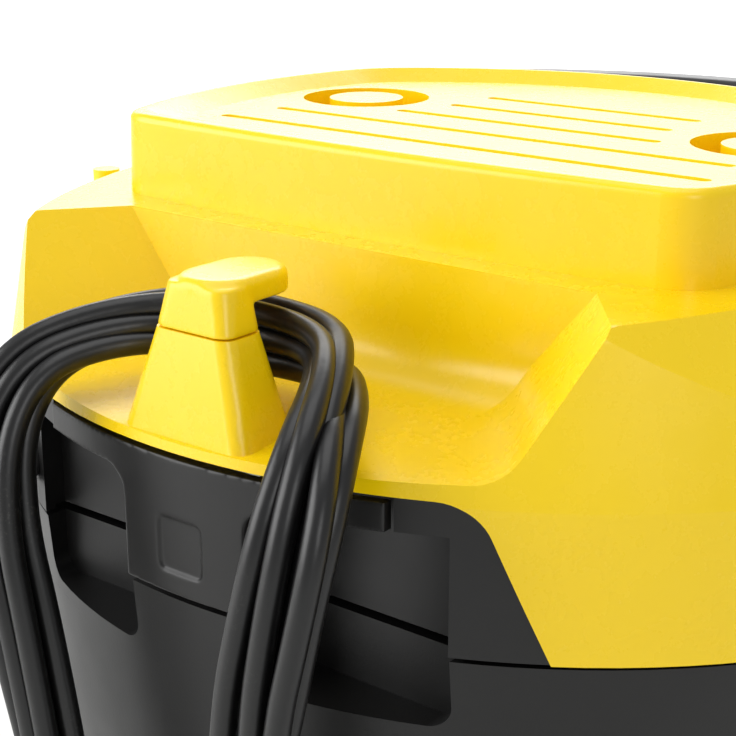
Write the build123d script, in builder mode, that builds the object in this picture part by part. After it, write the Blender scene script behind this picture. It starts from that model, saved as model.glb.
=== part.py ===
from build123d import *
import math
import os

# Wet and dry shop vacuum: a motor head that lifts off a round tank on four casters.
# Frame: origin on the floor under the middle of the drum, +Z up.
# The cable hook is at the rear, -Y. The hose inlet and the switch are at the front, +Y.
# All dimensions are in millimetres.

os.makedirs("parts", exist_ok=True)

# Driving dimensions of the head
BODY_R = 170.0            # skirt of the head
WALL = 3.0                # moulded wall
RIM_Z = 323.0             # lower edge of the skirt
CREASE_Z = 362.0          # the skirt is straight below this and tapers above it
SHOULDER_R = 162.5
SHOULDER_Z = 404.0        # the flat ledge round the deck lies at this height
SIDE_SHOULDER_HALF_W = 131.5   # the sides fall away from an oval at the shoulder to one at the crease
SIDE_SHOULDER_HALF_D = 188.0
SIDE_CREASE_HALF_W = 172.0
SIDE_CREASE_HALF_D = 215.0
DECK_Z = 425.0            # floor of the shallow tray in the deck
DECK_RIM_Z = 429.0        # top of the tray's rim
DECK_HALF_W = 113.5
DECK_REAR_HALF_W = 98.0
DECK_FRONT_HALF_W = 104.0
DECK_FRONT_SIDE_Y = 38.0
DECK_WIDEST_Y = -20.0
DECK_REAR_BOW = 4.5
DECK_REAR = -95.5
DECK_FRONT = 81.0
DECK_REAR_CORNER = 14.0
DECK_FRONT_CORNER = 38.0
BAY_REAR_Y = -105.0       # back wall of the cable bay
LIP_Z = 363.0             # underside of the lip under the cable bay

# Driving dimensions of the tank
TANK_TOP_Z = 321.0
TANK_TOP_R = 167.5
TANK_FOOT_R = 146.0
TANK_FOOT_Z = 58.0
TANK_WALL = 3.5
TANK_MOUTH_R = 134.0
POCKET_FLOOR_Z = 302.0    # bottom of the finger pockets
POCKET_HALF_W = 72.0
POCKET_Y = 144.5          # back wall of the finger pockets
INLET_Z = 255.0
INLET_R = 19.0

# Driving dimensions of the moving pieces
RUN = 0.05                # radial clearance of a running fit
TONGUE_HALF_W = 21.0
LATCH_AXIS_Y = 159.5
LATCH_AXIS_Z = 358.5
LATCH_PIN_R = 1.75
HANDLE_AXIS_Z = 414.5
HANDLE_PIN_R = 4.0
SWITCH_Z = 383.0
BLOWER_Z = 350.0
BLOWER_R = 17.5
SHAFT_R = 5.0
CASTER_X = 90.0
CASTER_TRAIL = 12.0
WHEEL_R = 18.0
PEG_X = 73.5
PEG_R = 12.5
CORD_D = 6.5

BASE_Z = 323.4            # underside of the motor base
BASE_T = 3.0
CUP_R = 66.0
CUP_FLOOR_Z = 262.0

SCREW_ANGLES = (25, 50, 130, 155, 205, 335)
SCREW_RING = [
    (150.0 * math.cos(math.radians(a)), 150.0 * math.sin(math.radians(a)))
    for a in SCREW_ANGLES
]


# ---------------------------------------------------------------- shared outlines

def deck_outline(inset):
    """Plan of the raised deck: nearly straight at the rear, bowed at the sides, round at the front."""
    rear_x = DECK_REAR_HALF_W - inset
    front_x = DECK_FRONT_HALF_W - inset
    side_x = DECK_HALF_W - inset
    rear_y = DECK_REAR + inset
    front_y = DECK_FRONT_SIDE_Y - inset / 2
    rear_left = (-rear_x, rear_y + DECK_REAR_BOW)
    rear_right = (rear_x, rear_y + DECK_REAR_BOW)
    front_left = (-front_x, front_y)
    front_right = (front_x, front_y)
    with BuildSketch(mode=Mode.PRIVATE) as outline:
        with BuildLine():
            ThreePointArc(rear_left, (0, rear_y), rear_right)
            ThreePointArc(rear_right, (side_x, DECK_WIDEST_Y), front_right)
            ThreePointArc(front_right, (0, DECK_FRONT - inset), front_left)
            ThreePointArc(front_left, (-side_x, DECK_WIDEST_Y), rear_left)
        make_face()
        corners = outline.vertices().sort_by(Axis.Y)
        fillet(corners[:2], max(DECK_REAR_CORNER - inset, 3))
        fillet(outline.vertices().sort_by(Axis.Y)[-2:], DECK_FRONT_CORNER - inset)
    return outline.sketch


def arch_outline(inset):
    """Arch in the skirt around a latch, seen from behind, as X and Z."""
    top = LIP_Z - inset
    with BuildSketch(mode=Mode.PRIVATE) as outline:
        with BuildLine():
            Polyline(
                (-94.8 + inset, RIM_Z - 1 + inset),
                (-78.6 + inset, top),
                (78.6 - inset, top),
                (94.8 - inset, RIM_Z - 1 + inset),
                close=True,
            )
        make_face()
        fillet(outline.vertices().group_by(Axis.Y)[-1], 13.0)
    return outline.sketch


def latch_outline(gap):
    """T of the latch: two wings under the lip and a tongue down to the tank."""
    with BuildSketch(mode=Mode.PRIVATE) as outline:
        with BuildLine():
            Polyline(
                (-58 - gap, 361.0 + gap * 4),
                (58 + gap, 361.0 + gap * 4),
                (58 + gap, 353.5 - gap),
                (TONGUE_HALF_W + gap, 353.5 - gap),
                (TONGUE_HALF_W + gap, RIM_Z + 0.2 - gap),
                (-TONGUE_HALF_W - gap, RIM_Z + 0.2 - gap),
                (-TONGUE_HALF_W - gap, 353.5 - gap),
                (-58 - gap, 353.5 - gap),
                close=True,
            )
        make_face()
        corners = outline.vertices().filter_by(lambda v: abs(v.X) < 25 and v.Y > 340)
        fillet(corners, 8.0)
    return outline.sketch


def window_outline():
    """Right finger window in the surround, between the tongue and a round edge."""
    with BuildSketch(mode=Mode.PRIVATE) as outline:
        with BuildLine():
            Polyline(
                (72.0, RIM_Z - 1),
                (TONGUE_HALF_W, RIM_Z - 1),
                (TONGUE_HALF_W, 354.0),
                (57.7, 354.0),
                (57.7, 347.0),
                (61.0, 345.5),
            )
            ThreePointArc((61.0, 345.5), (68.6, 336.0), (72.0, RIM_Z - 1))
        make_face()
    return outline.sketch


# ---------------------------------------------------------------- head shell

def scoop_space(grow):
    """Space of the cable bay: a back wall, a shelf and two flared ends, with soft corners."""
    back_dir = Vector(0, -1, 0.04).normalized()
    shelf_dir = Vector(0, -0.1, 1).normalized()
    right_dir = Vector(-0.6586, -0.508, 0.555).normalized()
    left_dir = Vector(0.6586, -0.508, 0.555).normalized()
    walls = (
        (Vector(0, BAY_REAR_Y, 388), back_dir),
        (Vector(0, -105, 372), shelf_dir),
        (Vector(99, -128, SHOULDER_Z), right_dir),
        (Vector(-99, -128, SHOULDER_Z), left_dir),
    )
    with BuildPart() as space:
        with Locations((0, -145, 390)):
            Box(300, 121, 100)
        for point, direction in walls:
            split(bisect_by=Plane(origin=point - direction * grow, z_dir=direction), keep=Keep.TOP)
        inner = space.edges().filter_by(
            lambda e: -160 < e.center().Y < -88 and e.center().Z < 402 and abs(e.center().X) < 95
        )
        fillet(inner, 15.0 + grow)
    return space.part


def side_form(inset):
    """Solid that the head's sides are trimmed to: the shoulder is narrower from side to side."""
    with BuildPart() as form:
        with BuildSketch(Plane.XY.offset(CREASE_Z)):
            Ellipse(SIDE_CREASE_HALF_W - inset, SIDE_CREASE_HALF_D - inset)
        with BuildSketch(Plane.XY.offset(SHOULDER_Z + 1)):
            Ellipse(SIDE_SHOULDER_HALF_W - inset, SIDE_SHOULDER_HALF_D - inset)
        loft()
        with Locations((0, 0, CREASE_Z)):
            Cylinder(200, 60, align=(Align.CENTER, Align.CENTER, Align.MAX))
    return form.part


def head_cavity():
    """Hollow of the head, kept clear of the bay, the pegs and the switch seat."""
    with BuildPart() as cavity:
        with BuildSketch(Plane.XZ):
            with BuildLine():
                Polyline(
                    (0, RIM_Z - 1),
                    (BODY_R - WALL, RIM_Z - 1),
                    (BODY_R - WALL, CREASE_Z),
                    (SHOULDER_R - WALL, SHOULDER_Z - WALL),
                    (0, SHOULDER_Z - WALL),
                    close=True,
                )
            make_face()
        revolve(axis=Axis.Z)
        add(side_form(WALL + 1), mode=Mode.INTERSECT)
        with BuildSketch(Plane.XY.offset(SHOULDER_Z - 8)):
            add(deck_outline(WALL))
        extrude(amount=DECK_Z - WALL - SHOULDER_Z + 8)
        with Locations((-PEG_X, 0, DECK_Z), (PEG_X, 0, DECK_Z)):
            Cylinder(24.5, 29, mode=Mode.SUBTRACT)
        with Locations(Location((0, 164, SWITCH_Z), (90, 0, 0))):
            Cylinder(21.5, 20, mode=Mode.SUBTRACT)
        add(scoop_space(WALL), mode=Mode.SUBTRACT)
    return cavity.part


with BuildPart() as head_shell:
    # outer form: skirt, taper, shoulder and raised deck
    with BuildSketch(Plane.XZ):
        with BuildLine():
            Polyline(
                (0, RIM_Z),
                (BODY_R, RIM_Z),
                (BODY_R, CREASE_Z),
                (SHOULDER_R, SHOULDER_Z),
                (0, SHOULDER_Z),
                close=True,
            )
        make_face()
    revolve(axis=Axis.Z)
    rim_edges = head_shell.edges().filter_by(GeomType.CIRCLE)
    fillet(rim_edges.filter_by(lambda e: abs(e.radius - SHOULDER_R) < 0.1), 4.0)
    add(side_form(0), mode=Mode.INTERSECT)
    with BuildSketch(Plane.XY.offset(SHOULDER_Z - 5)):
        add(deck_outline(0))
    extrude(amount=DECK_RIM_Z - SHOULDER_Z + 5, taper=1.5)
    fillet(head_shell.faces().sort_by(Axis.Z)[-1].edges(), 2.5)
    # shallow tray in the top of the deck
    with BuildSketch(Plane.XY.offset(DECK_Z)):
        add(deck_outline(12))
    with BuildSketch(Plane.XY.offset(DECK_RIM_Z)):
        add(deck_outline(4.5))
    loft(mode=Mode.SUBTRACT)
    # cable bay
    add(scoop_space(0), mode=Mode.SUBTRACT)
    # hollow inside
    add(head_cavity(), mode=Mode.SUBTRACT)
    # arches around both latches
    with BuildSketch(Plane.XZ):
        add(arch_outline(0))
    extrude(amount=200, both=True, mode=Mode.SUBTRACT)
    # hook post on the lip
    with BuildSketch(Plane.XY.offset(LIP_Z)):
        with Locations((0, -157.2)):
            RectangleRounded(45, 22, 5)
    with BuildSketch(Plane.XY.offset(392.4)):
        with Locations((0, -156.25)):
            RectangleRounded(26, 14.5, 4)
    loft()
    with Locations((0, -156.25, 387.4)):
        Box(10.4, 6.4, 10.1, mode=Mode.SUBTRACT)
    # parking pegs for the nozzles: a round pocket with a peg in the middle
    for x in (-PEG_X, PEG_X):
        with BuildSketch(Plane.XY.offset(DECK_Z)):
            with Locations((x, 0)):
                Circle(21.5)
                Circle(PEG_R, mode=Mode.SUBTRACT)
        extrude(amount=-11.5, mode=Mode.SUBTRACT)
    # shallow grooves across the deck
    for y, length in ((-58, 172), (-36, 164), (-15.5, 96), (4.5, 82), (25, 80)):
        with BuildSketch(Plane.XY.offset(DECK_Z)):
            with Locations((0, y)):
                SlotOverall(length, 4)
        extrude(amount=-0.8, mode=Mode.SUBTRACT)
    # switch seat, with a hole for the switch's spindle
    with Locations(Location((0, 167, SWITCH_Z), (90, 0, 0))):
        Cylinder(18.5, 20, mode=Mode.SUBTRACT)
    with Locations(Location((0, 155, SWITCH_Z), (90, 0, 0))):
        Cylinder(3.5, 10, mode=Mode.SUBTRACT)
    # blower hole
    with Locations(Location((-160, 0, BLOWER_Z), (0, 90, 0))):
        Cylinder(BLOWER_R + 3.1, 40, mode=Mode.SUBTRACT)
    # handle pin holes
    for x in (-110, 110):
        with Locations(Location((x, 0, HANDLE_AXIS_Z), (0, 90, 0))):
            Cylinder(HANDLE_PIN_R, 20, mode=Mode.SUBTRACT)
    # screw bosses down to the motor base
    with Locations([(x, y, 364.5) for x, y in SCREW_RING]):
        Cylinder(4.5, 76)
        Cylinder(2.0, 50, mode=Mode.SUBTRACT, align=(Align.CENTER, Align.CENTER, Align.MAX))
head_shell.part.label = "head_shell"
export_step(head_shell.part, "parts/head_shell.step")


# ---------------------------------------------------------------- hook cap

with BuildPart() as hook_cap:
    with BuildSketch(Plane.XY.offset(392.7)):
        with Locations((0, -156.25)):
            RectangleRounded(25.8, 14.3, 4)
    with BuildSketch(Plane.XY.offset(404.5)):
        with Locations((0, -155.5)):
            RectangleRounded(21.5, 12.5, 5)
    loft()
    # spoon-shaped lip that keeps the cable on the hook
    with BuildSketch(Plane.XY.offset(399.5)):
        with Locations((0, -146.5)):
            SlotOverall(31, 21, rotation=90)
    extrude(amount=6.5)
    top_edges = hook_cap.faces().sort_by(Axis.Z)[-1].edges()
    fillet(top_edges, 2.5)
    with Locations((0, -156.25, 388.2)):
        Box(9.8, 5.8, 9.2)
hook_cap.part.label = "hook_cap"
export_step(hook_cap.part, "parts/hook_cap.step")


# ---------------------------------------------------------------- latch surrounds

GLAND_TURN = math.radians(10)      # angle round the drum from the rear towards -X
GLAND_DIP = math.radians(35)       # the gland points down by this
GLAND_POINT = Vector(-82.0, -149.0, 336)
GLAND_DIR = Vector(
    -math.sin(GLAND_TURN) * math.cos(GLAND_DIP),
    -math.cos(GLAND_TURN) * math.cos(GLAND_DIP),
    -math.sin(GLAND_DIP),
)


def surround_panel():
    """Curved panel in the arch, with a finger pocket and the latch's hinge bay behind it."""
    with BuildPart() as panel:
        with BuildSketch(Plane.XZ.offset(100)):
            add(arch_outline(0.4))
        extrude(amount=90)
        with Locations((0, 0, 340)):
            Cylinder(168, 60, mode=Mode.INTERSECT)
            Cylinder(165, 60, mode=Mode.SUBTRACT)
        with BuildSketch(Plane.XY.offset(BASE_Z)):
            with Locations((0, -154)):
                Rectangle(149, 24)
        extrude(amount=LIP_Z - 1.5 - BASE_Z)
        with Locations((0, 0, 340)):
            Cylinder(168, 60, mode=Mode.INTERSECT)
        # windows beside the tongue, and the recess that the latch fills
        with BuildSketch(Plane.XZ.offset(160)):
            add(window_outline())
            mirror(window_outline(), about=Plane.YZ)
            add(latch_outline(0.5))
        extrude(amount=20, mode=Mode.SUBTRACT)
        with BuildSketch(Plane.XZ.offset(152.5)):
            add(window_outline())
            mirror(window_outline(), about=Plane.YZ)
            with Locations((0, 337)):
                Rectangle(60, 30)
        extrude(amount=20, mode=Mode.SUBTRACT)
        # finger pocket
        with BuildSketch(Plane.XZ.offset(POCKET_Y)):
            with Locations((0, RIM_Z - 1)):
                Rectangle(2 * POCKET_HALF_W, 31.5, align=(Align.CENTER, Align.MIN))
        extrude(amount=20.4, mode=Mode.SUBTRACT)
        # hinge bay, with an ear each side for the latch's pin
        for low, high in ((-59.5, -38.7), (-35.3, 35.3), (38.7, 59.5)):
            with Locations(((low + high) / 2, -161.5, 354)):
                Box(high - low, 18, 20, mode=Mode.SUBTRACT)
        with Locations((-37, -166, 354), (37, -166, 354)):
            Box(3.6, 10, 20, mode=Mode.SUBTRACT)
        with Locations(Location((0, -LATCH_AXIS_Y, LATCH_AXIS_Z), (0, 90, 0))):
            Cylinder(LATCH_PIN_R, 80, mode=Mode.SUBTRACT)
    return panel.part


with BuildPart() as rear_surround:
    add(surround_panel())
    # hole for the cord gland
    with BuildSketch(Plane(origin=GLAND_POINT - GLAND_DIR * 9, z_dir=GLAND_DIR)):
        Circle(5.6)
    extrude(amount=14, mode=Mode.SUBTRACT)
rear_surround.part.label = "rear_surround"
export_step(rear_surround.part, "parts/rear_surround.step")

with BuildPart() as front_surround:
    mirror(surround_panel(), about=Plane.XZ)
front_surround.part.label = "front_surround"
export_step(front_surround.part, "parts/front_surround.step")


# ---------------------------------------------------------------- latches

def latch():
    """T-shaped latch: a plate bent to the drum, two knuckles and a nose over the tank."""
    with BuildPart() as plate:
        with BuildSketch(Plane.XZ.offset(140)):
            add(latch_outline(0))
        extrude(amount=40)
        with Locations((0, 0, 340)):
            Cylinder(169.3, 60, mode=Mode.INTERSECT)
            Cylinder(166, 60, mode=Mode.SUBTRACT)
        # square finger mark pressed into the tongue
        with BuildSketch(Plane.XZ.offset(168.4)):
            with Locations((0, 337)):
                RectangleRounded(15.5, 15.5, 2.5)
        extrude(amount=5, mode=Mode.SUBTRACT)
        # knuckles on the pin
        for x in (-29, 29):
            with Locations((x, -162.5, LATCH_AXIS_Z)):
                Box(10, 5.5, 5)
            with Locations(Location((x, -LATCH_AXIS_Y, LATCH_AXIS_Z), (0, 90, 0))):
                Cylinder(3.5, 10)
                Cylinder(LATCH_PIN_R + RUN, 12, mode=Mode.SUBTRACT)
        # nose
        with Locations((0, -164, 326)):
            Box(28, 6, 4)
    return plate.part


with BuildPart() as rear_latch:
    add(latch())
rear_latch.part.label = "rear_latch"
export_step(rear_latch.part, "parts/rear_latch.step")

with BuildPart() as front_latch:
    mirror(latch(), about=Plane.XZ)
front_latch.part.label = "front_latch"
export_step(front_latch.part, "parts/front_latch.step")

with BuildPart() as latch_pins:
    for y in (-LATCH_AXIS_Y, LATCH_AXIS_Y):
        with Locations(Location((0, y, LATCH_AXIS_Z), (0, 90, 0))):
            Cylinder(LATCH_PIN_R, 76)
latch_pins.part.label = "latch_pins"
export_step(latch_pins.part, "parts/latch_pins.step")


# ---------------------------------------------------------------- motor base and its fittings

with BuildPart() as motor_base:
    with Locations((0, 0, BASE_Z)):
        Cylinder(163, BASE_T, align=(Align.CENTER, Align.CENTER, Align.MIN))
    with Locations((0, 0, CUP_FLOOR_Z)):
        Cylinder(CUP_R, BASE_Z - CUP_FLOOR_Z, align=(Align.CENTER, Align.CENTER, Align.MIN))
    with Locations((0, 0, CUP_FLOOR_Z + WALL)):
        Cylinder(CUP_R - WALL, 80, align=(Align.CENTER, Align.CENTER, Align.MIN), mode=Mode.SUBTRACT)
    with Locations((0, 0, CUP_FLOOR_Z)):
        Cylinder(22, 20, mode=Mode.SUBTRACT)
    # room for the finger pockets, the screws and the cord's gland
    for y in (-155, 155):
        with Locations((0, y, BASE_Z)):
            Box(152, 29, 20, mode=Mode.SUBTRACT)
    with Locations((-84, -146, BASE_Z)):
        Box(34, 24, 20, mode=Mode.SUBTRACT)
    with Locations([(x, y, BASE_Z) for x, y in SCREW_RING]):
        Cylinder(2.2, 20, mode=Mode.SUBTRACT)
motor_base.part.label = "motor_base"
export_step(motor_base.part, "parts/motor_base.step")

with BuildPart() as head_screws:
    with Locations([(x, y, 321.5) for x, y in SCREW_RING]):
        Cylinder(3.8, BASE_Z - 321.5, align=(Align.CENTER, Align.CENTER, Align.MIN))
        Cylinder(1.9, 24, align=(Align.CENTER, Align.CENTER, Align.MIN))
        with Locations((0, 0, 0)):
            Cylinder(1.2, 2, mode=Mode.SUBTRACT)
head_screws.part.label = "head_screws"
export_step(head_screws.part, "parts/head_screws.step")

with BuildPart() as head_gasket:
    with BuildSketch(Plane.XY.offset(TANK_TOP_Z)):
        Circle(139.5)
        Circle(136.5, mode=Mode.SUBTRACT)
    extrude(amount=BASE_Z - TANK_TOP_Z)
head_gasket.part.label = "head_gasket"
export_step(head_gasket.part, "parts/head_gasket.step")

with BuildPart() as blower_collar:
    with BuildSketch(Plane.YZ.offset(-168.4)):
        with Locations((0, BLOWER_Z)):
            Circle(BLOWER_R + 3.0)
    extrude(amount=30.4)
    with BuildSketch(Plane.YZ.offset(-163.5)):
        with Locations((0, BLOWER_Z)):
            Circle(BLOWER_R + 6)
        with Locations((0, CREASE_Z + 33)):
            Rectangle(60, 60, mode=Mode.SUBTRACT)
    extrude(amount=2.5)
    with Locations(Location((-160, 0, BLOWER_Z), (0, 90, 0))):
        Cylinder(BLOWER_R, 80, mode=Mode.SUBTRACT)
blower_collar.part.label = "blower_collar"
export_step(blower_collar.part, "parts/blower_collar.step")

with BuildPart() as switch_body:
    with Locations((0, 142, SWITCH_Z)):
        Box(24, 22, 24)
    fillet(switch_body.edges().filter_by(Axis.Y), 2.0)
switch_body.part.label = "switch_body"
export_step(switch_body.part, "parts/switch_body.step")

with BuildPart() as switch_knob:
    with BuildSketch(Plane.XZ.offset(-157.5)):
        with Locations((0, SWITCH_Z)):
            Circle(16.5)
    extrude(amount=-5)
    with BuildSketch(Plane.XZ.offset(-162.5)):
        with Locations((0, SWITCH_Z)):
            SlotOverall(31, 9, rotation=90)
    extrude(amount=-6)
    fillet(switch_knob.faces().sort_by(Axis.Y)[-1].edges(), 1.5)
    with Locations(Location((0, 155.7, SWITCH_Z), (90, 0, 0))):
        Cylinder(3.0, 4.4)
switch_knob.part.label = "switch_knob"
export_step(switch_knob.part, "parts/switch_knob.step")


# ---------------------------------------------------------------- carrying handle

with BuildPart() as carry_handle:
    with BuildSketch(Plane.XY.offset(HANDLE_AXIS_Z - 6)):
        with BuildSketch(mode=Mode.PRIVATE) as outside:
            Circle(156)
            Rectangle(253, 160, align=(Align.CENTER, Align.MIN), mode=Mode.INTERSECT)
        with BuildSketch(mode=Mode.PRIVATE) as inside:
            Circle(143)
            Rectangle(233, 160, align=(Align.CENTER, Align.MIN), mode=Mode.INTERSECT)
        add(outside.sketch)
        add(inside.sketch, mode=Mode.SUBTRACT)
    extrude(amount=12)
    fillet(carry_handle.edges().filter_by(GeomType.CIRCLE), 3.0)
    for x in (-121.5, 121.5):
        with Locations(Location((x, 0, HANDLE_AXIS_Z), (0, 90, 0))):
            Cylinder(9, 10)
            Cylinder(HANDLE_PIN_R + RUN, 20, mode=Mode.SUBTRACT)
carry_handle.part.label = "carry_handle"
export_step(carry_handle.part, "parts/carry_handle.step")

with BuildPart() as handle_pins:
    for side in (-1, 1):
        with Locations(Location((side * 117, 0, HANDLE_AXIS_Z), (0, 90, 0))):
            Cylinder(HANDLE_PIN_R, 22)
        with Locations(Location((side * 127.8, 0, HANDLE_AXIS_Z), (0, 90, 0))):
            Cylinder(6.5, 2)
handle_pins.part.label = "handle_pins"
export_step(handle_pins.part, "parts/handle_pins.step")


# ---------------------------------------------------------------- motor, fixed half

def ring(z, height, outer, inner):
    """Plain ring about the drum's axis."""
    with BuildPart() as piece:
        with BuildSketch(Plane.XY.offset(z)):
            Circle(outer)
            Circle(inner, mode=Mode.SUBTRACT)
        extrude(amount=height)
    return piece.part


with BuildPart() as motor_seal:
    add(ring(265.0, 3.0, 60, 46))
motor_seal.part.label = "motor_seal"
export_step(motor_seal.part, "parts/motor_seal.step")

with BuildPart() as fan_housing:
    add(ring(268.0, 44.0, 60, 0.1))
    with Locations((0, 0, 269.2)):
        Cylinder(58.8, 41.6, align=(Align.CENTER, Align.CENTER, Align.MIN), mode=Mode.SUBTRACT)
    with Locations((0, 0, 268)):
        Cylinder(20, 4, mode=Mode.SUBTRACT)
    with Locations((0, 0, 312)):
        Cylinder(13.5, 4, mode=Mode.SUBTRACT)
    # outlet holes round the top
    with PolarLocations(50, 12):
        with Locations((0, 0, 312)):
            Cylinder(4, 6, mode=Mode.SUBTRACT)
fan_housing.part.label = "fan_housing"
export_step(fan_housing.part, "parts/fan_housing.step")

with BuildPart() as motor_bracket:
    with BuildSketch(Plane.XY.offset(312.0)):
        Circle(42)
        Circle(11.0, mode=Mode.SUBTRACT)
        with PolarLocations(26, 6):
            Circle(6.5, mode=Mode.SUBTRACT)
    extrude(amount=8)
    with BuildSketch(Plane.XY.offset(320)):
        with PolarLocations(38.5, 4, 45):
            Rectangle(7, 12)
    extrude(amount=70)
    with BuildSketch(Plane.XY.offset(390)):
        Circle(42)
        Circle(9.0, mode=Mode.SUBTRACT)
        with PolarLocations(26, 6):
            Circle(7.5, mode=Mode.SUBTRACT)
    extrude(amount=8)
motor_bracket.part.label = "motor_bracket"
export_step(motor_bracket.part, "parts/motor_bracket.step")

with BuildPart() as lower_bearing:
    add(ring(312.5, 7.0, 11.0, SHAFT_R + RUN))
lower_bearing.part.label = "lower_bearing"
export_step(lower_bearing.part, "parts/lower_bearing.step")

with BuildPart() as upper_bearing:
    add(ring(391.0, 6.0, 9.0, SHAFT_R + RUN))
upper_bearing.part.label = "upper_bearing"
export_step(upper_bearing.part, "parts/upper_bearing.step")

with BuildPart() as stator_core:
    with BuildSketch(Plane.XY.offset(328)):
        Circle(34.5)
        Circle(24.3, mode=Mode.SUBTRACT)
    extrude(amount=34)
stator_core.part.label = "stator_core"
export_step(stator_core.part, "parts/stator_core.step")

with BuildPart() as stator_coils:
    for z in (321.5, 362.0):
        with BuildSketch(Plane.XY.offset(z)):
            with PolarLocations(29, 2):
                Rectangle(9, 34)
        extrude(amount=6.5)
stator_coils.part.label = "stator_coils"
export_step(stator_coils.part, "parts/stator_coils.step")

with BuildPart() as brush_holders:
    with BuildSketch(Plane.XY.offset(372)):
        with PolarLocations(24.2, 2, 90):
            Rectangle(20, 8)
    extrude(amount=12)
brush_holders.part.label = "brush_holders"
export_step(brush_holders.part, "parts/brush_holders.step")

with BuildPart() as motor_cover:
    add(ring(BASE_Z + BASE_T, 79.6, CUP_R, CUP_R - 2.5))
    add(ring(403.5, 2.5, CUP_R, 0.1))
    with Locations((0, 0, 404.75)):
        Cylinder(1, 4)
    with Locations((0, 0, 404.75)):
        with PolarLocations(40, 10):
            Cylinder(5, 4, mode=Mode.SUBTRACT)
motor_cover.part.label = "motor_cover"
export_step(motor_cover.part, "parts/motor_cover.step")


# ---------------------------------------------------------------- motor, rotor

with BuildPart() as motor_shaft:
    with Locations((0, 0, 271)):
        Cylinder(SHAFT_R, 128, align=(Align.CENTER, Align.CENTER, Align.MIN))
motor_shaft.part.label = "motor_shaft"
export_step(motor_shaft.part, "parts/motor_shaft.step")

with BuildPart() as rotor_core:
    with BuildSketch(Plane.XY.offset(328)):
        Circle(23.6)
        Circle(SHAFT_R, mode=Mode.SUBTRACT)
        with PolarLocations(22.4, 12):
            Rectangle(4, 1.8, mode=Mode.SUBTRACT)
    extrude(amount=34)
rotor_core.part.label = "rotor_core"
export_step(rotor_core.part, "parts/rotor_core.step")

with BuildPart() as commutator:
    add(ring(371.0, 14.0, 13.5, SHAFT_R))
commutator.part.label = "commutator"
export_step(commutator.part, "parts/commutator.step")

with BuildPart() as impeller:
    add(ring(277.0, 1.5, 54, 18))
    add(ring(293.0, 1.5, 54, SHAFT_R))
    add(ring(286.0, 7.0, 10, SHAFT_R))
    with BuildSketch(Plane.XY.offset(278.5)):
        with PolarLocations(36, 7):
            Rectangle(32, 1.5, rotation=35)
    extrude(amount=14.5)
impeller.part.label = "impeller"
export_step(impeller.part, "parts/impeller.step")

with BuildPart() as impeller_nut:
    with BuildSketch(Plane.XY.offset(281)):
        RegularPolygon(8, 6)
        Circle(SHAFT_R, mode=Mode.SUBTRACT)
    extrude(amount=5)
impeller_nut.part.label = "impeller_nut"
export_step(impeller_nut.part, "parts/impeller_nut.step")


# ---------------------------------------------------------------- filter and float

CAGE_R = 44.0
CAGE_LOW_Z = 160.0

with BuildPart() as filter_basket:
    add(ring(CUP_FLOOR_Z - 3.5, 3.5, 58, 27))
    add(ring(CAGE_LOW_Z + 40, 3, CAGE_R, CAGE_R - 4))
    add(ring(CUP_FLOOR_Z - 30, 3, CAGE_R, CAGE_R - 4))
    with Locations((0, 0, CAGE_LOW_Z)):
        Cylinder(CAGE_R, 3, align=(Align.CENTER, Align.CENTER, Align.MIN))
    with BuildSketch(Plane.XY.offset(CAGE_LOW_Z)):
        with PolarLocations(CAGE_R - 2, 8):
            Rectangle(4, 5)
    extrude(amount=CUP_FLOOR_Z - CAGE_LOW_Z)
    # stud for the filter's knob
    with Locations((0, 0, 136)):
        Cylinder(SHAFT_R, 25, align=(Align.CENTER, Align.CENTER, Align.MIN))
filter_basket.part.label = "filter_basket"
export_step(filter_basket.part, "parts/filter_basket.step")

with BuildPart() as float_ball:
    with Locations((0, 0, CAGE_LOW_Z + 3 + 25)):
        Sphere(25)
float_ball.part.label = "float_ball"
export_step(float_ball.part, "parts/float_ball.step")

PLEATS = 48

with BuildPart() as filter_cartridge:
    pleat_line = [
        (
            (62.0 if i % 2 else 53.0) * math.cos(math.pi * i / PLEATS),
            (62.0 if i % 2 else 53.0) * math.sin(math.pi * i / PLEATS),
        )
        for i in range(2 * PLEATS)
    ]
    with BuildSketch(Plane.XY.offset(158)):
        Polygon(*pleat_line, align=None)
        Circle(48, mode=Mode.SUBTRACT)
    extrude(amount=94)
    add(ring(252.0, 6.0, 63, 48))
filter_cartridge.part.label = "filter_cartridge"
export_step(filter_cartridge.part, "parts/filter_cartridge.step")

with BuildPart() as filter_end_cap:
    add(ring(154.0, 4.0, 63, SHAFT_R + 1))
    add(ring(150.0, 4.0, 63, 56))
filter_end_cap.part.label = "filter_end_cap"
export_step(filter_end_cap.part, "parts/filter_end_cap.step")

with BuildPart() as filter_knob:
    with BuildSketch(Plane.XY.offset(154)):
        Circle(30)
    extrude(amount=-8)
    with BuildSketch(Plane.XY.offset(146)):
        SlotOverall(58, 14)
    extrude(amount=-16)
    fillet(filter_knob.faces().sort_by(Axis.Z)[0].edges(), 3)
    with Locations((0, 0, 156)):
        Cylinder(SHAFT_R + RUN, 22, align=(Align.CENTER, Align.CENTER, Align.MAX), mode=Mode.SUBTRACT)
filter_knob.part.label = "filter_knob"
export_step(filter_knob.part, "parts/filter_knob.step")


# ---------------------------------------------------------------- tank and inlet

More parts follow.
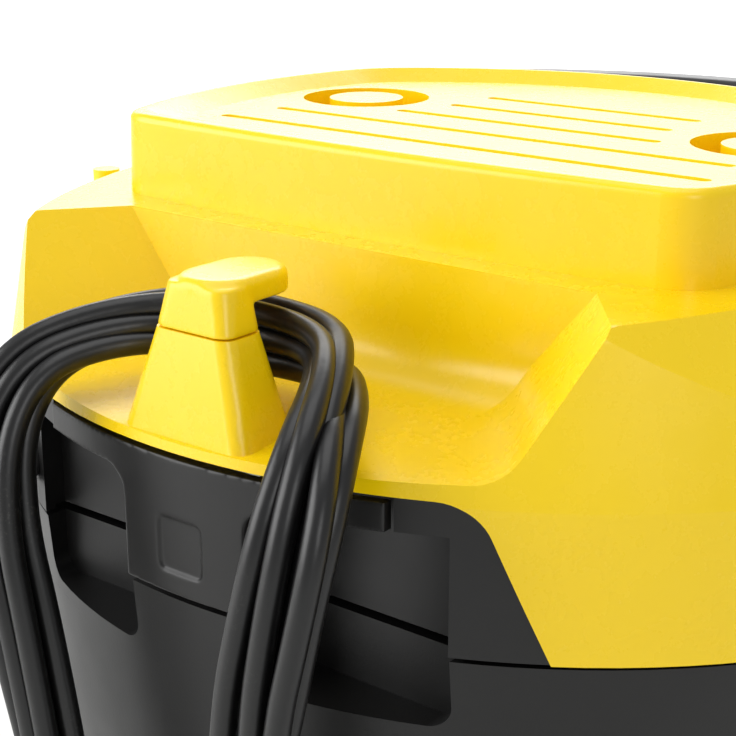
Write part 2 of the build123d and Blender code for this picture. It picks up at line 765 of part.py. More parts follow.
def tank_envelope(inset):
    """Tapered body of the tank as a full solid, inset by a wall."""
    slope = (TANK_TOP_R - TANK_FOOT_R) / (TANK_TOP_Z - TANK_FOOT_Z)
    low_z = TANK_FOOT_Z + inset
    low_r = TANK_FOOT_R + slope * inset - inset
    with BuildPart() as body:
        with BuildSketch(Plane.XZ):
            with BuildLine():
                Polyline(
                    (0, low_z),
                    (low_r, low_z),
                    (TANK_TOP_R - inset, TANK_TOP_Z),
                    (0, TANK_TOP_Z),
                    close=True,
                )
            make_face()
        revolve(axis=Axis.Z)
        fillet(body.edges().filter_by(GeomType.CIRCLE).sort_by(Axis.Z)[0], 16 - inset)
    return body.part


def pocket_windows():
    """Both finger pockets in the tank's wall, each side of the ridge."""
    with BuildSketch(mode=Mode.PRIVATE) as outline:
        for side in (-1, 1):
            with Locations((side * (TONGUE_HALF_W + POCKET_HALF_W) / 2, POCKET_FLOOR_Z)):
                RectangleRounded(
                    POCKET_HALF_W - TONGUE_HALF_W, 40, 6, align=(Align.CENTER, Align.MIN)
                )
    return outline.sketch


CASTER_SPOTS = [(-CASTER_X, -CASTER_X), (CASTER_X, -CASTER_X), (-CASTER_X, CASTER_X), (CASTER_X, CASTER_X)]

RING_FOOT_Z = 298.0       # the pocket ring stands on the drum here

with BuildPart() as vessel:
    add(tank_envelope(0))
    with BuildPart(mode=Mode.PRIVATE) as hollow:
        add(tank_envelope(TANK_WALL))
        with Locations((0, 0, TANK_TOP_Z - 6)):
            Cylinder(200, 20, align=(Align.CENTER, Align.CENTER, Align.MIN), mode=Mode.SUBTRACT)
        for y in (-170, 170):
            with Locations((0, y, 311)):
                Box(151, 58, 26, mode=Mode.SUBTRACT)
        with Locations((0, 0, TANK_TOP_Z - 20)):
            Cylinder(TANK_MOUTH_R, 40, align=(Align.CENTER, Align.CENTER, Align.MIN))
    add(hollow.part, mode=Mode.SUBTRACT)
    # finger pockets, rear and front
    for side in (-1, 1):
        with BuildSketch(Plane.XZ.offset(side * POCKET_Y)):
            add(pocket_windows())
        extrude(amount=side * 40, mode=Mode.SUBTRACT)
    # inlet hole
    with Locations(Location((0, 160, INLET_Z), (90, 0, 0))):
        Cylinder(INLET_R + 5, 40, mode=Mode.SUBTRACT)
    # caster bosses
    with Locations([(x, y, 47) for x, y in CASTER_SPOTS]):
        Cylinder(11, 15, align=(Align.CENTER, Align.CENTER, Align.MIN))
        Cylinder(4.0 + RUN, 13, align=(Align.CENTER, Align.CENTER, Align.MIN), mode=Mode.SUBTRACT)

with BuildPart() as tank:
    add(vessel.part)
    split(bisect_by=Plane.XY.offset(RING_FOOT_Z), keep=Keep.BOTTOM)
tank.part.label = "tank"
export_step(tank.part, "parts/tank.step")

with BuildPart() as tank_ring:
    add(vessel.part)
    split(bisect_by=Plane.XY.offset(RING_FOOT_Z), keep=Keep.TOP)
tank_ring.part.label = "tank_ring"
export_step(tank_ring.part, "parts/tank_ring.step")

with BuildPart() as inlet_socket:
    with BuildSketch(Plane.XZ.offset(-128)):
        with Locations((0, INLET_Z)):
            Circle(INLET_R + 4.8)
    extrude(amount=-39.8)
    with BuildSketch(Plane.XZ.offset(-164.8)):
        with Locations((0, INLET_Z)):
            Circle(31)
    extrude(amount=-3)
    with Locations(Location((0, 150, INLET_Z), (90, 0, 0))):
        Cylinder(INLET_R, 60, mode=Mode.SUBTRACT)
inlet_socket.part.label = "inlet_socket"
export_step(inlet_socket.part, "parts/inlet_socket.step")

with BuildPart() as inlet_gasket:
    with BuildSketch(Plane.XZ.offset(-150)):
        with Locations((0, INLET_Z)):
            Circle(30)
            Circle(INLET_R + 5, mode=Mode.SUBTRACT)
    extrude(amount=-14.8)
    add(tank_envelope(0), mode=Mode.SUBTRACT)
inlet_gasket.part.label = "inlet_gasket"
export_step(inlet_gasket.part, "parts/inlet_gasket.step")

with BuildPart() as inlet_deflector:
    with BuildSketch(Plane.XZ.offset(-100)):
        with Locations((0, INLET_Z)):
            Circle(27)
    extrude(amount=-28)
    with BuildSketch(Plane.XZ.offset(-102)):
        with Locations((0, INLET_Z)):
            Circle(25)
    extrude(amount=-30, mode=Mode.SUBTRACT)
    with Locations((0, 115, INLET_Z - 20)):
        Box(60, 40, 24, mode=Mode.SUBTRACT)
inlet_deflector.part.label = "inlet_deflector"
export_step(inlet_deflector.part, "parts/inlet_deflector.step")


# ---------------------------------------------------------------- casters

for number, (x, y) in enumerate(CASTER_SPOTS, start=1):
    hub = (x + CASTER_TRAIL, y, WHEEL_R)
    with BuildPart() as fork:
        with Locations((x, y, 43.5)):
            Cylinder(12, 3, align=(Align.CENTER, Align.CENTER, Align.MIN))
            Cylinder(4, 15.5, align=(Align.CENTER, Align.CENTER, Align.MIN))
        for side in (-10.5, 10.5):
            with BuildSketch(Plane.XZ.offset(-(y + side) - 1.25)):
                with BuildLine():
                    Polyline(
                        (x - 8, 43.5),
                        (x + 9, 43.5),
                        (x + CASTER_TRAIL + 6, WHEEL_R),
                        (x + CASTER_TRAIL - 4, WHEEL_R - 6),
                        (x + CASTER_TRAIL - 6, WHEEL_R),
                        close=True,
                    )
                make_face()
            extrude(amount=2.5)
        with Locations((x, y, 44.5)):
            Box(15, 23.5, 2)
        with Locations(Location(hub, (90, 0, 0))):
            Cylinder(2.5, 40, mode=Mode.SUBTRACT)
    fork.part.label = f"caster_{number}_fork"
    export_step(fork.part, f"parts/caster_{number}_fork.step")

    with BuildPart() as axle:
        with Locations(Location(hub, (90, 0, 0))):
            Cylinder(2.5, 24)
    axle.part.label = f"caster_{number}_axle"
    export_step(axle.part, f"parts/caster_{number}_axle.step")

    with BuildPart() as wheel:
        with Locations(Location(hub, (90, 0, 0))):
            Cylinder(WHEEL_R, 16)
            Cylinder(2.5 + RUN, 20, mode=Mode.SUBTRACT)
        fillet(wheel.edges().filter_by(lambda e: e.length > 100), 2.5)
    wheel.part.label = f"caster_{number}_wheel"
    export_step(wheel.part, f"parts/caster_{number}_wheel.step")


# ---------------------------------------------------------------- power cord

GLAND_LENGTH = 26.0

with BuildPart() as cord_gland:
    with BuildSketch(Plane(origin=GLAND_POINT - GLAND_DIR * 9, z_dir=GLAND_DIR)):
        Circle(5.5)
    extrude(amount=12)
    with BuildSketch(Plane(origin=GLAND_POINT + GLAND_DIR * 3, z_dir=GLAND_DIR)):
        Circle(6.2)
    with BuildSketch(Plane(origin=GLAND_POINT + GLAND_DIR * GLAND_LENGTH, z_dir=GLAND_DIR)):
        Circle(4.3)
    loft()
cord_gland.part.label = "cord_gland"
export_step(cord_gland.part, "parts/cord_gland.step")

with BuildPart() as cord_clamp:
    with Locations((-88, -112, BASE_Z + BASE_T + 4)):
        Box(20, 9, 8)
cord_clamp.part.label = "cord_clamp"
export_step(cord_clamp.part, "parts/cord_clamp.step")

CORD_EXIT = GLAND_POINT + GLAND_DIR * GLAND_LENGTH
LEAD_ROUTE = [
    CORD_EXIT,
    CORD_EXIT + GLAND_DIR * 26,
    Vector(-105, -202, 272),
    Vector(-113, -204.5, 229),
    Vector(-113, -203.5, 186),
    Vector(-92, -203, 158),
    Vector(-56, -202, 158),
    Vector(-32, -199, 180),
    Vector(-32, -193, 212),
    Vector(-36, -186, 243),
]
TAIL_ROUTE = [
    Vector(38, -188, 258),
    Vector(44, -199, 230),
    Vector(52, -208, 199),
    Vector(55.5, -211, 168),
]
HANK_R = 10.5
HANK_SIDE = [
    (25, -137.5, 386.5),
    (40, -155, 385),
    (49, -172, 379),
    (52, -183, 362),
    (49, -187, 338),
    (43, -187, 312),
    (37, -185, 262),
    (31, -184, 200),
    (28, -183, 130),
    (26, -183, 82),
    (14, -183, 54),
]
HANK_ROUTE = [(0, -134.5, 386)] + HANK_SIDE + [(-x, y, z) for x, y, z in reversed(HANK_SIDE)]


def corner_radii(points):
    """Largest round that each corner's shorter run allows."""
    radii = []
    for before, here, after in zip(points, points[1:], points[2:]):
        run_in = here - before
        run_out = after - here
        turn = math.radians(run_in.get_angle(run_out))
        radii.append(0.45 * min(run_in.length, run_out.length) / math.tan(turn / 2))
    return radii


def cord_tube(route):
    """Tube along straight runs joined by tangent arcs."""
    radii = corner_radii(route)
    with BuildPart() as tube:
        with BuildLine() as path:
            FilletPolyline(*route, radius=radii)
        with BuildSketch(Plane(origin=path.line @ 0, z_dir=path.line % 0)):
            Circle(CORD_D / 2)
        sweep()
    return tube.part


with BuildPart() as cord_lead:
    add(cord_tube(LEAD_ROUTE))
cord_lead.part.label = "cord_lead"
export_step(cord_lead.part, "parts/cord_lead.step")

with BuildPart() as cord_tail:
    add(cord_tube(TAIL_ROUTE))
cord_tail.part.label = "cord_tail"
export_step(cord_tail.part, "parts/cord_tail.step")

with BuildPart() as cord_hank:
    hank_points = [Vector(*p) for p in HANK_ROUTE]
    hank_radii = corner_radii([hank_points[-1]] + hank_points + [hank_points[0]])
    with BuildLine() as hank_path:
        FilletPolyline(*hank_points, radius=[min(r, 200) for r in hank_radii], close=True)
    with BuildSketch(Plane(origin=hank_path.line @ 0, z_dir=hank_path.line % 0)):
        Circle(HANK_R)
    sweep()
cord_hank.part.label = "cord_hank"
export_step(cord_hank.part, "parts/cord_hank.step")

PLUG_X = 55.5
PLUG_Y = -211.0
PLUG_TOP_Z = 168.0

with BuildPart() as power_plug:
    # relief, grip, face and two round pins, pointing down
    with BuildSketch(Plane.XY.offset(PLUG_TOP_Z)):
        with Locations((PLUG_X, PLUG_Y)):
            Circle(4.5)
    with BuildSketch(Plane.XY.offset(PLUG_TOP_Z - 22)):
        with Locations((PLUG_X, PLUG_Y)):
            Circle(7)
    loft()
    with BuildSketch(Plane.XY.offset(PLUG_TOP_Z - 22)):
        with Locations((PLUG_X, PLUG_Y)):
            RectangleRounded(22, 22, 9)
    extrude(amount=-24)
    with BuildSketch(Plane.XY.offset(PLUG_TOP_Z - 46)):
        with Locations((PLUG_X, PLUG_Y)):
            Circle(18)
    extrude(amount=-12)
    with BuildSketch(Plane.XY.offset(PLUG_TOP_Z - 58)):
        with Locations((PLUG_X - 9.5, PLUG_Y), (PLUG_X + 9.5, PLUG_Y)):
            Circle(2.4)
    extrude(amount=-19)
power_plug.part.label = "power_plug"
export_step(power_plug.part, "parts/power_plug.step")
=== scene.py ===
import bpy
import math
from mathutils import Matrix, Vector


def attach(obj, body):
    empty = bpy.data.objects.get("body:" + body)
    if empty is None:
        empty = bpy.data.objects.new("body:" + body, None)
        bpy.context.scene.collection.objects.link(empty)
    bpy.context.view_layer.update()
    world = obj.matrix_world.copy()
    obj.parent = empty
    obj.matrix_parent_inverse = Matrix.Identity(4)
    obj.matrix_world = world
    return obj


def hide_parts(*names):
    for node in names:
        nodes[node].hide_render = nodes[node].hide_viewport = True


# A wet and dry shop vacuum: a yellow motor head on a black tank with four casters. The mains cord hangs
# in a hank on the hook at the rear, -Y. Everything is in metres, with the floor at Z = 0.

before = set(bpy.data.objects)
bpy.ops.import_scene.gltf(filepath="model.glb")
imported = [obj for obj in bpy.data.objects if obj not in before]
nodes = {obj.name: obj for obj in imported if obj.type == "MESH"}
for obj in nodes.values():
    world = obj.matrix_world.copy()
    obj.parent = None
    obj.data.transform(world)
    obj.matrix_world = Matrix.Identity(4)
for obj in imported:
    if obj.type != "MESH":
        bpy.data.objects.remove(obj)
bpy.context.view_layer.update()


# ---------------------------------------------------------------- camera
# A long lens looks down at the hook side of the head from the right, a little above the deck.

camera_data = bpy.data.cameras.new("camera")
camera_data.lens = 80.05
camera_data.sensor_width = 36.0
camera = bpy.data.objects.new("camera", camera_data)
camera.location = (0.2754, -0.4390, 0.5086)
camera.rotation_euler = (math.radians(90 - 17.88), 0.0, math.radians(38.42))
bpy.context.collection.objects.link(camera)
bpy.context.scene.camera = camera


# ---------------------------------------------------------------- floor and light
# A seamless pale studio floor in an even bright room, with wide softboxes: one over the top, one behind the
# machine that the deck mirrors, a key at the left of the hook side, a fill at its right, and one over the
# far floor, which makes the backdrop white.

bpy.context.scene.view_settings.view_transform = "Standard"


def linear(hex_colour):
    """sRGB hex colour as linear RGBA."""
    parts = [int(hex_colour[i:i + 2], 16) / 255 for i in (1, 3, 5)]
    return tuple(p / 12.92 if p <= 0.04045 else ((p + 0.055) / 1.055) ** 2.4 for p in parts) + (1.0,)


def add(tree, kind, inputs=None, **settings):
    """One shader node: settings are its attributes, inputs are constants or links by socket."""
    made = tree.nodes.new("ShaderNode" + kind)
    for name, value in settings.items():
        setattr(made, name, value)
    for socket, value in (inputs or {}).items():
        if isinstance(value, bpy.types.NodeSocket):
            tree.links.new(value, made.inputs[socket])
        else:
            made.inputs[socket].default_value = value
    return made


def start_material(name):
    """Empty node material, and its tree."""
    made = bpy.data.materials.new(name)
    made.use_nodes = True
    made.node_tree.nodes.clear()
    return made, made.node_tree


def close_material(tree, inputs):
    """Puts the principled shader and the output on a material's tree."""
    shader = add(tree, "BsdfPrincipled", inputs)
    add(tree, "OutputMaterial", {"Surface": shader.outputs["BSDF"]})


def finished_object(name, mesh, material):
    """Object in the scene for a finished mesh or curve, with its one material."""
    made = bpy.data.objects.new(name, mesh)
    made.data.materials.clear()
    made.data.materials.append(material)
    bpy.context.collection.objects.link(made)
    return made


def solid_material(name, colour, second, roughness, patch, grain, relief, ior=1.5, metallic=0.0):
    """Material of two close tones in soft patches, a roughness range and a fine grain, in metres."""
    made, tree = start_material(name)
    place = add(tree, "TexCoord")
    clouds = add(tree, "TexNoise", {
        "Vector": place.outputs["Object"], "Scale": 1 / patch, "Detail": 4.0,
    })
    fine = add(tree, "TexNoise", {
        "Vector": place.outputs["Object"], "Scale": 1 / grain, "Detail": 2.0,
    })
    tone = add(tree, "MixRGB", {
        "Fac": clouds.outputs["Fac"], "Color1": linear(colour), "Color2": linear(second),
    })
    gloss = add(tree, "MapRange", {
        "Value": clouds.outputs["Fac"], "From Min": 0.3, "From Max": 0.7,
    })
    gloss.inputs["To Min"].default_value = roughness[0]
    gloss.inputs["To Max"].default_value = roughness[1]
    skin = add(tree, "Bump", {"Height": fine.outputs["Fac"], "Strength": 0.5, "Distance": relief})
    shader = {"Base Color": tone.outputs["Color"], "Roughness": gloss.outputs["Result"]}
    shader["Normal"] = skin.outputs["Normal"]
    shader["IOR"] = ior
    shader["Metallic"] = metallic
    close_material(tree, shader)
    return made


def cover(material, *names):
    """Gives a material to nodes of the CAD model."""
    for name in names:
        nodes[name].data.materials.clear()
        nodes[name].data.materials.append(material)


def softened(name, body, material, cell, rounds):
    """Stands in for a CAD node with the same form, its sharp edges rounded as a mould leaves them."""
    made = finished_object(name + "_soft", nodes[name].data.copy(), material)
    remesh = made.modifiers.new("even_cells", "REMESH")
    remesh.mode = "VOXEL"
    remesh.voxel_size = cell
    remesh.use_smooth_shade = True
    relax = made.modifiers.new("round_edges", "SMOOTH")
    relax.factor = 0.5
    relax.iterations = rounds
    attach(made, body)
    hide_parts(name)
    return made


# painted board, rolled matt: a trace of roller mottle
studio_board, tree = start_material("painted_board_rolled_matt")
place = add(tree, "TexCoord")
mottle = add(tree, "TexNoise", {"Vector": place.outputs["Object"], "Scale": 60.0, "Detail": 3.0})
tone = add(tree, "MixRGB", {
    "Fac": mottle.outputs["Fac"], "Color1": linear("#E6E6E4"), "Color2": linear("#EAEAE8"),
})
close_material(tree, {"Base Color": tone.outputs["Color"], "Roughness": 0.9})

board = bpy.data.meshes.new("floor")
FLOOR_HALF = 6.0
corners = [(x * FLOOR_HALF, y * FLOOR_HALF, 0) for x, y in ((-1, -1), (1, -1), (1, 1), (-1, 1))]
board.from_pydata(corners, [], [(0, 1, 2, 3)])
floor = finished_object("floor", board, studio_board)

room = bpy.data.worlds.new("studio_room")
room.use_nodes = True
room.node_tree.nodes["Background"].inputs["Color"].default_value = linear("#F7F8FA")
room.node_tree.nodes["Background"].inputs["Strength"].default_value = 0.52
bpy.context.scene.world = room


def softbox(name, place, aim, width, height, power):
    """Wide area light at a place, turned to a point."""
    data = bpy.data.lights.new(name, "AREA")
    data.shape = "RECTANGLE"
    data.size = width
    data.size_y = height
    data.energy = power
    lamp = bpy.data.objects.new(name, data)
    lamp.location = place
    lamp.rotation_euler = (Vector(aim) - Vector(place)).to_track_quat("-Z", "Y").to_euler()
    lamp.visible_camera = False
    bpy.context.collection.objects.link(lamp)


softbox("softbox_top", (-0.1, -0.1, 1.9), (0, 0, 0.4), 1.4, 1.4, 9.0)
softbox("softbox_behind", (-1.5, 1.8, 1.1), (0, 0, 0.4), 2.4, 1.3, 12.0)
softbox("softbox_key", (-1.5, -1.5, 1.0), (0, 0, 0.35), 1.8, 1.6, 36.0)
softbox("softbox_fill", (1.6, -1.2, 1.0), (0, 0, 0.35), 0.7, 0.9, 6.0)
softbox("softbox_backdrop", (-2.9, 3.8, 2.4), (-2.9, 3.8, 0.0), 4.5, 4.5, 210.0)


# ---------------------------------------------------------------- tank
# The drum that holds the dirt, injection moulded in black polypropylene with a fine spark-eroded grain.
# Its ring with the finger pockets carries the head, and takes the same grain.

pp_black = solid_material(
    "pp_injection_moulded_black", "#090908", "#0E0D0C", (0.40, 0.50),
    patch=0.045, grain=0.0007, relief=0.00006)
cover(pp_black, "tank", "tank_ring")


# ---------------------------------------------------------------- casters
# Four swivel casters: grey moulded forks pressed into the tank, black moulded wheels, and plain steel
# axles that are turned and zinc plated.

pp_grey = solid_material(
    "pp_injection_moulded_grey", "#8E8F90", "#979899", (0.42, 0.52),
    patch=0.03, grain=0.0006, relief=0.00005)
pp_wheel = solid_material(
    "pp_injection_moulded_wheel_scuffed", "#1C1B1A", "#2B2927", (0.45, 0.68),
    patch=0.006, grain=0.0005, relief=0.00009)
steel_zinc = solid_material(
    "steel_turned_zinc_plated", "#C4C6C8", "#B4B7BA", (0.26, 0.38),
    patch=0.012, grain=0.0003, relief=0.00002,
    ior=2.5, metallic=1.0)
for number in range(1, 5):
    cover(pp_grey, f"caster_{number}_fork")
    cover(steel_zinc, f"caster_{number}_axle")
    cover(pp_wheel, f"caster_{number}_wheel")


# ---------------------------------------------------------------- hose inlet
# A grey moulded socket that screws into the front of the tank on a moulded rubber gasket, with a black
# elbow inside that turns the dirt down.

rubber = solid_material(
    "rubber_compression_moulded_black", "#141414", "#1D1D1C", (0.60, 0.75),
    patch=0.02, grain=0.0004, relief=0.00005,
    ior=1.52)
cover(pp_grey, "inlet_socket")
cover(rubber, "inlet_gasket")
cover(pp_black, "inlet_deflector")


# ---------------------------------------------------------------- head base
# A moulded plate closes the head from below and carries the motor. Zinc plated screws hold it from
# underneath, and a rubber ring seals it to the tank.

cover(pp_black, "motor_base")
cover(steel_zinc, "head_screws")
cover(rubber, "head_gasket")


# ---------------------------------------------------------------- head shell
# The yellow motor housing, injection moulded ABS from a polished tool: glossy, with faint flow waves a
# hand wide, an even trace of fine wear in the gloss, and a fine orange peel.

abs_yellow, tree = start_material("abs_injection_moulded_gloss_yellow")
place = add(tree, "TexCoord")
flow = add(tree, "TexNoise", {"Vector": place.outputs["Object"], "Scale": 14.0, "Detail": 2.0})
wear = add(tree, "TexNoise", {
    "Vector": place.outputs["Object"], "Scale": 95.0, "Detail": 5.0, "Roughness": 0.65,
})
tone = add(tree, "MixRGB", {
    "Fac": flow.outputs["Fac"], "Color1": linear("#FFD500"), "Color2": linear("#FFDA06"),
})
gloss = add(tree, "MapRange", {"Value": wear.outputs["Fac"], "From Min": 0.35, "From Max": 0.7})
gloss.inputs["To Min"].default_value = 0.24
gloss.inputs["To Max"].default_value = 0.31
peel = add(tree, "TexNoise", {"Vector": place.outputs["Object"], "Scale": 330.0, "Detail": 1.0})
skin = add(tree, "Bump", {"Height": peel.outputs["Fac"], "Strength": 0.04, "Distance": 0.00002})
close_material(tree, {
    "Base Color": tone.outputs["Color"],
    "Roughness": gloss.outputs["Result"],
    "Normal": skin.outputs["Normal"],
    "IOR": 1.54,
})
cover(abs_yellow, "head_shell")


# ---------------------------------------------------------------- hook cap
# The spoon of the cable hook, moulded in the same yellow ABS and pressed onto its post. All its edges
# are well rounded, so that the cord slips over it.

softened("hook_cap", "head", abs_yellow, cell=0.00045, rounds=14)


# ---------------------------------------------------------------- latches
# Two black moulded latches clamp the head to the tank. Each turns on a steel pin in its surround, which
# is moulded with the same fine grain and clipped into the arch in the skirt.

pp_latch = solid_material(
    "pp_injection_moulded_black_satin", "#0A0908", "#0F0E0D", (0.36, 0.46),
    patch=0.03, grain=0.0005, relief=0.00004)
softened("rear_latch", "rear_latch", pp_latch, cell=0.0005, rounds=5)
softened("front_latch", "front_latch", pp_latch, cell=0.0005, rounds=5)
cover(pp_latch, "rear_surround", "front_surround")
cover(steel_zinc, "latch_pins")


# ---------------------------------------------------------------- carry handle
# A black moulded bail over the deck that swings down to the front. It turns on two steel pins pressed
# through the sides of the deck.

softened("carry_handle", "handle", pp_latch, cell=0.0008, rounds=6)
cover(steel_zinc, "handle_pins")


# ---------------------------------------------------------------- switch and blower socket
# A rotary switch at the front: a black knob on the switch body behind the shell. On the left the motor's
# air leaves through a black collar that also takes the hose.

cover(pp_black, "switch_knob", "switch_body")
cover(pp_black, "blower_collar")


# ---------------------------------------------------------------- motor
# A bypass motor under the shell: a pressed and zinc plated fan housing on a rubber seal, a die cast
# bracket with two bearings, stacked stampings with enamelled windings, and carbon brushes.

steel_pressed = solid_material(
    "steel_deep_drawn_zinc_plated", "#B9BCBE", "#AAADB0", (0.30, 0.44),
    patch=0.02, grain=0.0009, relief=0.00002,
    ior=2.5, metallic=1.0)
aluminium_cast = solid_material(
    "aluminium_die_cast_as_cast", "#B7B9BA", "#A7A9AB", (0.42, 0.58),
    patch=0.01, grain=0.0006, relief=0.00006,
    ior=1.4, metallic=1.0)
steel_ground = solid_material(
    "steel_ground_bearing_bright", "#CFD1D3", "#C3C6C8", (0.14, 0.22),
    patch=0.008, grain=0.0002, relief=0.00001,
    ior=2.5, metallic=1.0)
steel_stamped = solid_material(
    "steel_laminations_stamped_oiled", "#6F7173", "#5E6062", (0.40, 0.55),
    patch=0.01, grain=0.0005, relief=0.00005,
    ior=2.7, metallic=1.0)
copper_enamelled = solid_material(
    "copper_wire_enamelled_wound", "#A8562B", "#8F4522", (0.28, 0.40),
    patch=0.006, grain=0.0007, relief=0.00025,
    ior=1.6, metallic=0.8)
copper_turned = solid_material(
    "copper_commutator_turned", "#C27A4E", "#A9653F", (0.25, 0.38),
    patch=0.005, grain=0.0003, relief=0.00003,
    ior=1.2, metallic=1.0)
carbon_pressed = solid_material(
    "carbon_pressed_brush", "#1A1A1B", "#242426", (0.50, 0.65),
    patch=0.004, grain=0.0003, relief=0.00003)
cover(rubber, "motor_seal")
cover(steel_pressed, "fan_housing")
cover(aluminium_cast, "motor_bracket", "impeller")
cover(steel_ground, "lower_bearing", "upper_bearing", "motor_shaft")
cover(steel_stamped, "stator_core", "rotor_core")
cover(copper_enamelled, "stator_coils")
cover(copper_turned, "commutator")
cover(carbon_pressed, "brush_holders")
cover(steel_zinc, "impeller_nut")
cover(pp_black, "motor_cover")


# ---------------------------------------------------------------- filter and float
# A pleated paper cartridge slides over the moulded cage and is locked by a knob below. In the cage a
# white blow moulded ball rises with the water and shuts the intake.

paper_pleated = solid_material(
    "paper_resin_bonded_pleated", "#E4DFD1", "#D8D2C2", (0.80, 0.92),
    patch=0.012, grain=0.0004, relief=0.00012,
    ior=1.45)
pp_float = solid_material(
    "pp_blow_moulded_white", "#E6E8E9", "#DEE1E3", (0.38, 0.48),
    patch=0.02, grain=0.0008, relief=0.00004,
    ior=1.49)
cover(pp_black, "filter_basket", "filter_end_cap", "filter_knob")
cover(paper_pleated, "filter_cartridge")
cover(pp_float, "float_ball")


# ---------------------------------------------------------------- power cord
# Two-core mains cord with a round PVC jacket, extruded black. It leaves the gland at the rear left, runs
# down beside the drum and up into a hank of loose turns that hangs on the hook, and ends in its plug.

CORD_D = 0.0065

cord_pvc, tree = start_material("pvc_extruded_satin_black")
place = add(tree, "TexCoord")
# the jacket is softer than the housing, so it scuffs where it rubs: patches of fine short marks
scuff_patch = add(tree, "TexNoise", {
    "Vector": place.outputs["Object"], "Scale": 28.0, "Detail": 2.0,
})
patch = add(tree, "MapRange", {
    "Value": scuff_patch.outputs["Fac"], "From Min": 0.55, "From Max": 0.72,
})
marks = add(tree, "TexNoise", {
    "Vector": place.outputs["Object"], "Scale": 900.0, "Detail": 3.0, "Roughness": 0.7,
})
mark = add(tree, "MapRange", {"Value": marks.outputs["Fac"], "From Min": 0.56, "From Max": 0.70})
scuff = add(tree, "Math", {0: patch.outputs["Result"], 1: mark.outputs["Result"]}, operation="MULTIPLY")
tone = add(tree, "MixRGB", {
    "Fac": scuff.outputs["Value"], "Color1": linear("#0C0C0C"), "Color2": linear("#3A3936"),
})
gloss = add(tree, "MapRange", {"Value": scuff.outputs["Value"], "To Min": 0.34, "To Max": 0.62})
ripple = add(tree, "TexNoise", {"Vector": place.outputs["Object"], "Scale": 420.0, "Detail": 2.0})
skin = add(tree, "Bump", {"Height": ripple.outputs["Fac"], "Strength": 0.12, "Distance": 0.0004})
close_material(tree, {
    "Base Color": tone.outputs["Color"],
    "Roughness": gloss.outputs["Result"],
    "Normal": skin.outputs["Normal"],
    "IOR": 1.53,
})

gland_turn = math.radians(10)
gland_dip = math.radians(35)
gland_dir = Vector((
    -math.sin(gland_turn) * math.cos(gland_dip),
    -math.cos(gland_turn) * math.cos(gland_dip),
    -math.sin(gland_dip),
))
cord_exit = Vector((-0.082, -0.149, 0.336)) + gland_dir * 0.026
lead_route = [
    cord_exit,
    cord_exit + gland_dir * 0.026,
    (-0.105, -0.202, 0.272),
    (-0.113, -0.2045, 0.229),
    (-0.113, -0.2035, 0.186),
    (-0.092, -0.203, 0.158),
    (-0.056, -0.202, 0.158),
    (-0.032, -0.199, 0.180),
    (-0.032, -0.193, 0.212),
    (-0.036, -0.186, 0.243),
]
tail_route = [
    (0.038, -0.188, 0.258),
    (0.044, -0.199, 0.230),
    (0.052, -0.208, 0.199),
    (0.0555, -0.211, 0.168),
]
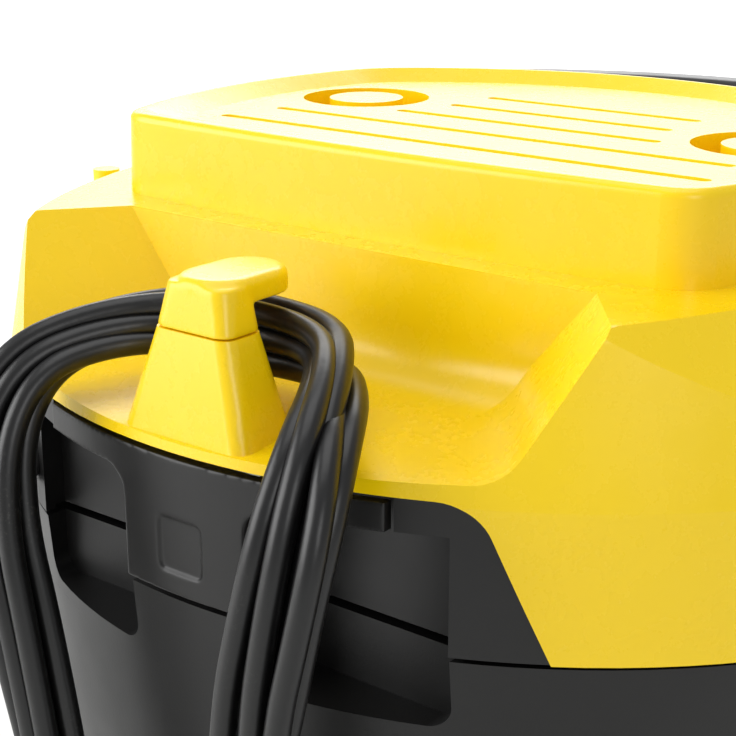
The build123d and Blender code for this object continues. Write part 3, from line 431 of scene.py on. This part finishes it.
# half of a turn of the hank, from over the hook down the right leg to the foot
half_turn = [
    (0.000, -0.1345, 0.3860),
    (0.025, -0.1375, 0.3865),
    (0.040, -0.1550, 0.3850),
    (0.049, -0.1720, 0.3790),
    (0.052, -0.1830, 0.3620),
    (0.049, -0.1870, 0.3380),
    (0.043, -0.1870, 0.3120),
    (0.037, -0.1850, 0.2620),
    (0.031, -0.1840, 0.2000),
    (0.028, -0.1830, 0.1300),
    (0.0275, -0.1830, 0.0930),
    (0.0262, -0.1830, 0.0705),
    (0.0112, -0.1830, 0.0545),
]
TURNS = 6
LAYER = 0.0068                          # from one turn to the next where they lie on each other
FAN = 0.0076                            # from one turn to the next where they hang side by side
right_lane = (0, 0, -1, -1, 1, 1)       # lane of each turn on the right leg, outward from the post
left_lane = (1, 1, 0, 0, -1, -1)        # lane on the left leg, and the level over the hook


def hank_point(turn, station, side):
    """One point of a turn: its place on the centre line, moved to the turn's own lane and layer."""
    x, y, z = half_turn[station]
    over_hook = max(0.0, 1.0 - station / 4.0)
    in_leg = 1.0 - over_hook
    lane = right_lane[turn] if side > 0 else left_lane[turn]
    column = 1 - 2 * (turn % 2)
    sway = 0.0012 * math.sin(2.3 * turn + 0.9 * station + side)
    in_foot = max(0.0, station - 8) / 4
    foot = 0.5 * LAYER * (turn - 2.5) * in_foot
    spread = in_leg * (1.0 - 0.8 * in_foot)
    outward = FAN * lane * spread + sway * in_leg
    rise = LAYER * left_lane[turn] * over_hook - foot
    depth = -0.5 * LAYER * column
    return (side * (x + outward), y + depth, z + rise)


last = len(half_turn) - 1
cord_points = list(lead_route)
cord_points += [hank_point(0, station, -1) for station in range(6, 0, -1)]
for turn in range(TURNS):
    down = last if turn < TURNS - 1 else 6
    cord_points += [hank_point(turn, station, 1) for station in range(0, down + 1)]
    if turn < TURNS - 1:
        cord_points += [hank_point(turn + 1, station, -1) for station in range(last, 0, -1)]
cord_points += tail_route

cord_curve = bpy.data.curves.new("power_cord", "CURVE")
cord_curve.dimensions = "3D"
line = cord_curve.splines.new("NURBS")
line.points.add(len(cord_points) - 1)
for point, spot in zip(line.points, cord_points):
    point.co = (*spot, 1.0)
line.order_u = 3
line.use_endpoint_u = True
cord_curve.resolution_u = 10
cord_curve.bevel_depth = CORD_D / 2
cord_curve.bevel_resolution = 7
cord_curve.use_fill_caps = True
power_cord = finished_object("power_cord", cord_curve, cord_pvc)
# the plug is moulded onto the far end in soft black PVC, with blunt rounded edges
plug = softened("power_plug", "head", rubber, cell=0.0006, rounds=5)
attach(power_cord, "head")
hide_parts("cord_lead", "cord_hank", "cord_tail")


# ---------------------------------------------------------------- cord ends
# Where the cord leaves the head a rubber gland keeps it from kinking, and a moulded clamp inside takes
# the pull.

cover(rubber, "cord_gland")
cover(pp_black, "cord_clamp")
